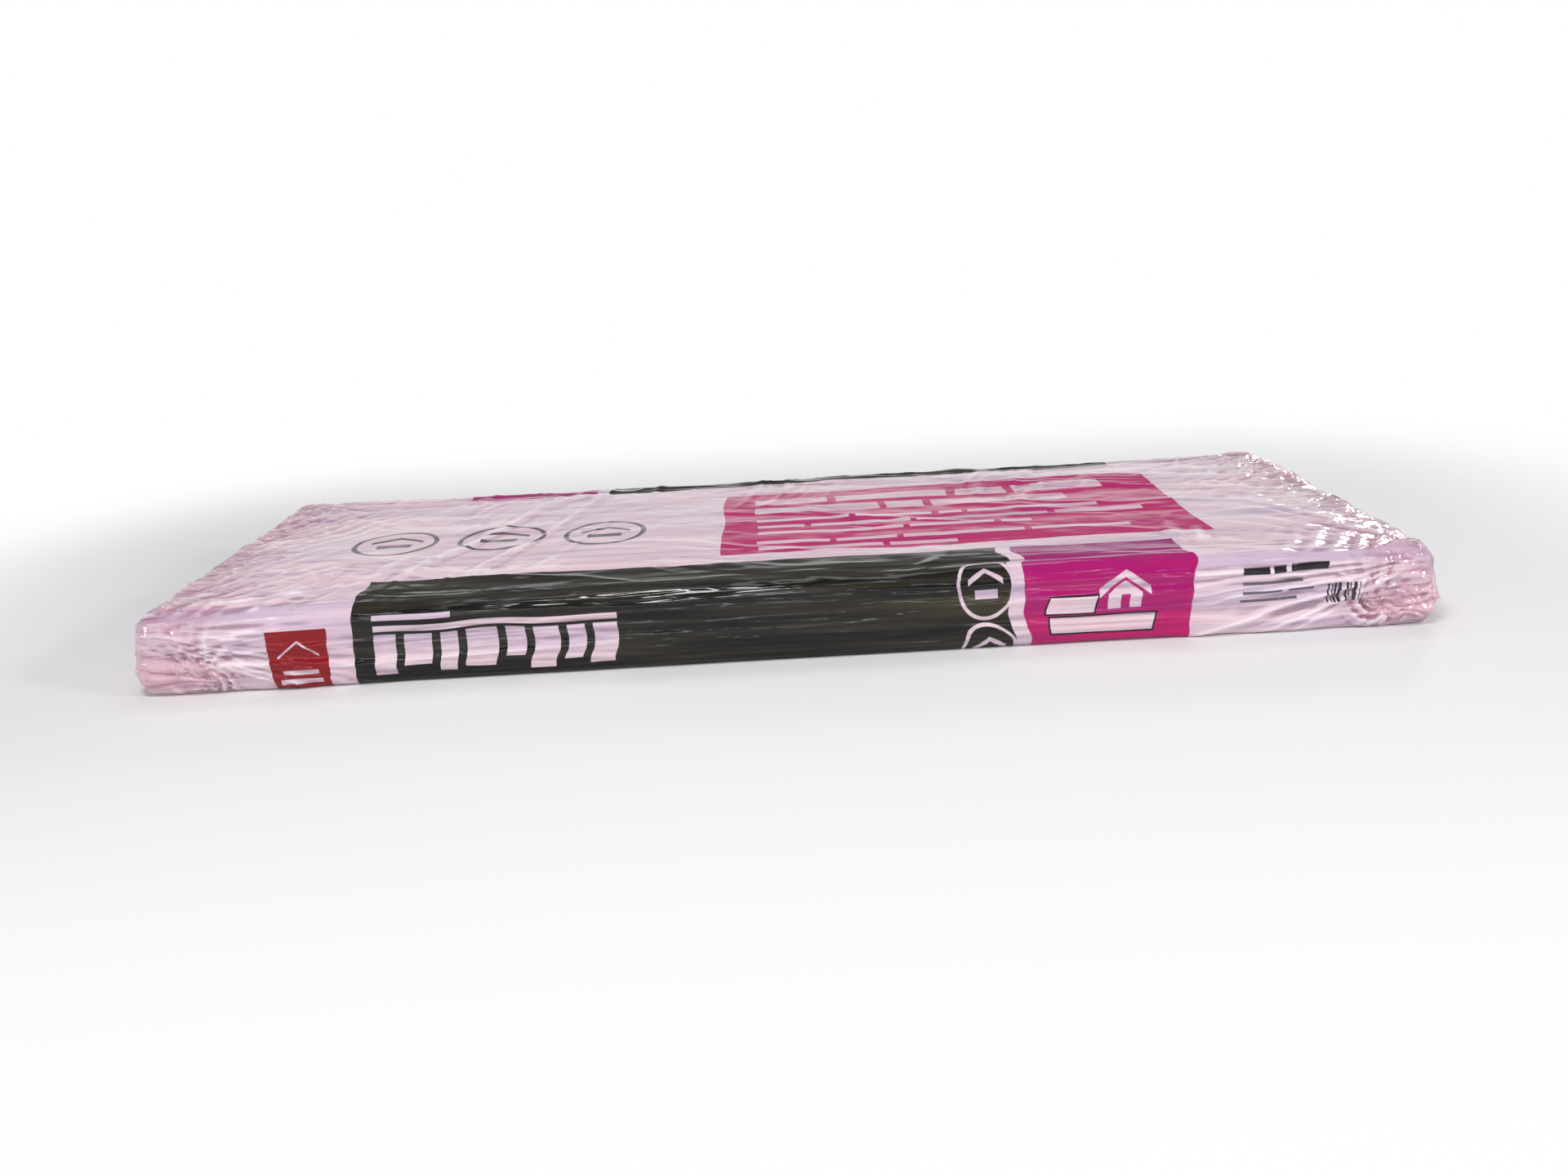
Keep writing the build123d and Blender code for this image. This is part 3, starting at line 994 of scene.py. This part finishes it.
def film_material():
    """Printed shrink film: ink on thin pink film, pinker and crushed at its closed ends, with
    painted sky reflection and reflection streaks, and painted shade and highlights in its folds.
    """
    g = Graph(bpy.data.materials.new("printed_film"))
    u, v, end = g.split(g.attribute("side_print"))
    top_u, top_v, height = g.split(g.attribute("top_print"))
    fold, knot, near_end = g.split(g.attribute("film_state"))
    place = g.place()
    x, y, z = g.split(place)
    drawn = g.join(g.both(x, 0.045), y, z)
    sheen_streak = film_sheen_streaks(g, drawn)
    ground = film_ground(g, place, drawn, v, fold)
    ground = g.mix(g.both(near_end, 0.16), ground, PINK_FILM)
    side = side_print(g, u, v, ground, sheen_streak)
    top = top_print(g, top_u, top_v, ground, sheen_streak)
    on_top = g.both(g.within(top_v, *TOP_BARE, 0.6), g.math("GREATER_THAN", height, middle_z))
    printed = g.mix(on_top, side, top)
    low_end = g.ramp(height, -0.05, 2.2)
    bare = g.mix(low_end, GREY_FILM, PINK_FILM)
    colour = g.mix(g.both(end, 0.9), printed, bare)
    under = g.ramp(v, -0.12, -1.8)
    colour = g.mix(under, colour, PINK_FILM)
    # painted shade: deeper pink in the fold valleys near the ends and knots
    crease_shade = g.ramp(fold, -4.0, 1.8)
    loose = g.ramp(near_end, 0.5, g.both(knot, 0.5))
    colour = g.mix(g.both(g.both(crease_shade, loose), 0.8), colour, CREASE_SHADE_PINK)
    facing = g.warped(g.join(g.both(x, 0.45), y, g.both(z, 0.8)), 60.0, 0.012)
    seen = g.both(g.patches(facing, CRUSH_SCALE), g.both(near_end, 0.38))
    colour = g.mix(seen, colour, SHADED_FILM)
    g.link(colour, g.shader.inputs["Base Color"])
    g.link(g.both(near_end, 0.8), g.shader.inputs["Coat Weight"])
    g.shader.inputs["Coat Roughness"].default_value = 0.06
    g.shader.inputs["Roughness"].default_value = 0.11
    g.shader.inputs["IOR"].default_value = 1.38
    g.link(film_bump(g, drawn, facing, height, near_end), g.shader.inputs["Normal"])
    return g.owner


def granule_material():
    """Dark mineral granules on asphalt."""
    g = Graph(bpy.data.materials.new("granules"))
    grains = g.cells(g.place(), 900.0)["Distance"]
    shade = g.mix(grains, srgb(30, 29, 29), srgb(74, 71, 69))
    g.link(shade, g.shader.inputs["Base Color"])
    g.shader.inputs["Roughness"].default_value = 0.9
    g.link(g.bump(grains, 0.6, 0.0006), g.shader.inputs["Normal"])
    return g.owner


# Surroundings

FLOOR_HALF = 30.0
FLOOR_FADE = (0.02, 0.6)  # from the bundle, where the paint starts and ends to turn white


def floor_material():
    """Pale paint near the bundle, which gives way to the white surroundings further off."""
    g = Graph(bpy.data.materials.new("floor_paint"))
    paint = srgb(222, 221, 223)
    mottle = g.cloud(g.place(), 3.0, 2.0)
    colour = g.mix(g.both(mottle, 0.08), paint, tuple(c * 0.9 for c in paint))
    g.link(colour, g.shader.inputs["Base Color"])
    g.shader.inputs["Roughness"].default_value = 0.85
    x, y, _ = g.split(g.place())
    beyond = []
    for way, half in ((x, cad_high[0]), (y, cad_high[1])):
        beyond.append(g.math("MAXIMUM", g.math("SUBTRACT", g.math("ABSOLUTE", way), half), 0.0))
    square = g.both(beyond[1], beyond[1])
    far = g.math("SQRT", g.math("MULTIPLY_ADD", beyond[0], beyond[0], square))
    blend = g.stepped(far, *FLOOR_FADE, kind="SMOOTHERSTEP")
    glow = g.tree.nodes.new("ShaderNodeEmission")
    mixed = g.tree.nodes.new("ShaderNodeMixShader")
    g.link(g.both(blend, g.open_ray()), mixed.inputs[0])
    g.link(g.shader.outputs[0], mixed.inputs[1])
    g.link(glow.outputs[0], mixed.inputs[2])
    g.link(mixed.outputs[0], g.tree.nodes["Material Output"].inputs["Surface"])
    return g.owner


def build_floor():
    corners = np.array([(-1, -1, 0), (1, -1, 0), (1, 1, 0), (-1, 1, 0)]) * FLOOR_HALF / MM
    floor = make_mesh("floor", corners, np.array([(0, 1, 2, 3)]), floor_material())


LAMP_AIM = (0, 0, 0.03)
# Each lamp's place in metres, its size and its power in watts
LAMPS = {
    "key": ((1.8, -1.0, 1.0), (0.3, 0.25), 15),
    "fill": ((-1.9, -0.8, 0.75), (0.35, 0.3), 6),
    "low_strip": ((0.0, -1.6, 0.24), (2.6, 0.06), 4),
    "high_strip": ((0.0, -1.5, 0.85), (2.2, 0.06), 5),
    "top_front": ((-0.3, -0.75, 1.6), (0.7, 0.2), 14),
    "rim": ((1.3, 1.2, 0.75), (0.2, 0.2), 5),
    "overhead": ((0, 0.7, 1.9), (1.6, 0.6), 7),
}
ROOM_LIGHT = 0.26  # strength of the white room round the part
WHITE_LOW = (0.17, 0.34)  # how far up it looks white, as the height of a sight line


def add_lamp(name, place, size, power):
    light = bpy.data.lights.new(name, "AREA")
    light.shape = "RECTANGLE"
    light.size, light.size_y = size
    light.energy = power
    lamp = bpy.data.objects.new(name, light)
    lamp.location = place
    lamp.rotation_euler = (Vector(LAMP_AIM) - Vector(place)).to_track_quat("-Z", "Y").to_euler()
    bpy.context.scene.collection.objects.link(lamp)


def light_scene():
    """The lamps, and a room that looks white low down to the rays that see it."""
    g = Graph(bpy.data.worlds.new("studio"))
    bpy.context.scene.world = g.owner
    background = g.tree.nodes["Background"]
    background.inputs["Color"].default_value = (1.0, 1.0, 1.0, 1)
    up = g.split(g.tree.nodes.new("ShaderNodeTexCoord").outputs["Generated"])[2]
    white = g.both(g.open_ray(), g.stepped(up, *WHITE_LOW, 1.0, 0.0))
    strength = g.math("MULTIPLY_ADD", white, 1 - ROOM_LIGHT, ROOM_LIGHT)
    g.link(strength, background.inputs["Strength"])
    for name, (place, size, power) in LAMPS.items():
        add_lamp(name, place, size, power)


# The photograph's viewpoint on the bundle, worked out from the stack's edges

VIEW_ELEVATION = 20.4
VIEW_DISTANCE = 0.92
VIEW_ROLL = 3.3
VIEW_AIM = (0.0, -0.10, 0.035)
FOCAL_PIXELS = 1441.0
IMAGE_WIDTH = 1920.0
SENSOR_MM = 36.0
FOCAL_MM = SENSOR_MM * FOCAL_PIXELS / IMAGE_WIDTH


def add_camera():
    face = Vector((0.0, -(face_half + SIDE_BULGE) * MM, middle_z * MM))
    rise = math.radians(VIEW_ELEVATION)
    place = face + VIEW_DISTANCE * Vector((0, -math.cos(rise), math.sin(rise)))
    camera_data = bpy.data.cameras.new("camera")
    camera_data.sensor_width = SENSOR_MM
    camera_data.lens = FOCAL_MM
    camera_data.clip_start = 0.01
    camera = bpy.data.objects.new("camera", camera_data)
    turn = (Vector(VIEW_AIM) - place).to_track_quat("-Z", "Y").to_matrix().to_4x4()
    roll = Matrix.Rotation(-math.radians(VIEW_ROLL), 4, "Z")
    camera.matrix_world = Matrix.Translation(place) @ turn @ roll
    bpy.context.scene.collection.objects.link(camera)
    bpy.context.scene.camera = camera


add_camera()
light_scene()
build_floor()

film = film_material()
film_pieces = build_film(film)
film_pieces.append(build_seam("back_seam", film))
for end, end_word in ((-1, "left"), (1, "right")):
    film_pieces.append(build_fin(f"end_fin_{end_word}", end, film))
    for side, side_word in ((-1, "front"), (1, "back")):
        film_pieces.append(build_ear(f"ear_{side_word}_{end_word}", side, end, film))
for piece in film_pieces:
    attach(piece, "root")
    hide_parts("film_wrapper")

stack = bpy.data.objects["shingles"]
granules = granule_material()
for slot in stack.material_slots:
    slot.material = granules

bpy.context.scene.view_settings.view_transform = "Standard"
